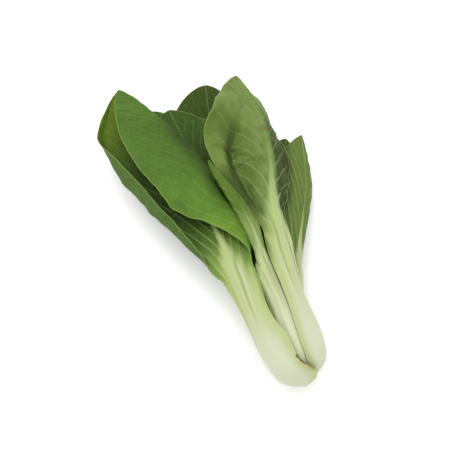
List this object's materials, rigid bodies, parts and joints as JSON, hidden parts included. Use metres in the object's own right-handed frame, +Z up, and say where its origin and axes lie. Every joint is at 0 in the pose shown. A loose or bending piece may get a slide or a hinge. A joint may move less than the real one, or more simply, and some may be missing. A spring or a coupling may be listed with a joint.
{
  "type": "bok choy head",
  "caption": "Whole head of bok choy lying on its side: thick pale stalks wrap a short cut stem and open into broad folded green leaves.",
  "frame": {"origin": "on the surface the head lies on, under the middle of its bounding box", "axes": "+Y from the cut stem end to the leaf tips, +Z up from the surface, +X to the right seen from the cut end"},
  "size_m": [0.1458, 0.2686, 0.0567],
  "materials": {
    "leaf": "fresh leaf: dull green blade over a pale, slightly waxy stalk",
    "stem": "damp cut stem, cream coloured and matt"
  },
  "bodies": {
    "root": {"leaf_1_top_left": "leaf", "leaf_2_underside": "leaf", "leaf_3_top_right": "leaf", "leaf_4_left": "leaf", "leaf_5_right": "leaf", "leaf_6_middle": "leaf", "leaf_7_lower_left": "leaf", "leaf_8_lower_right": "leaf", "leaf_9_heart": "leaf", "stem_base": "stem"}
  },
  "joints": []
}
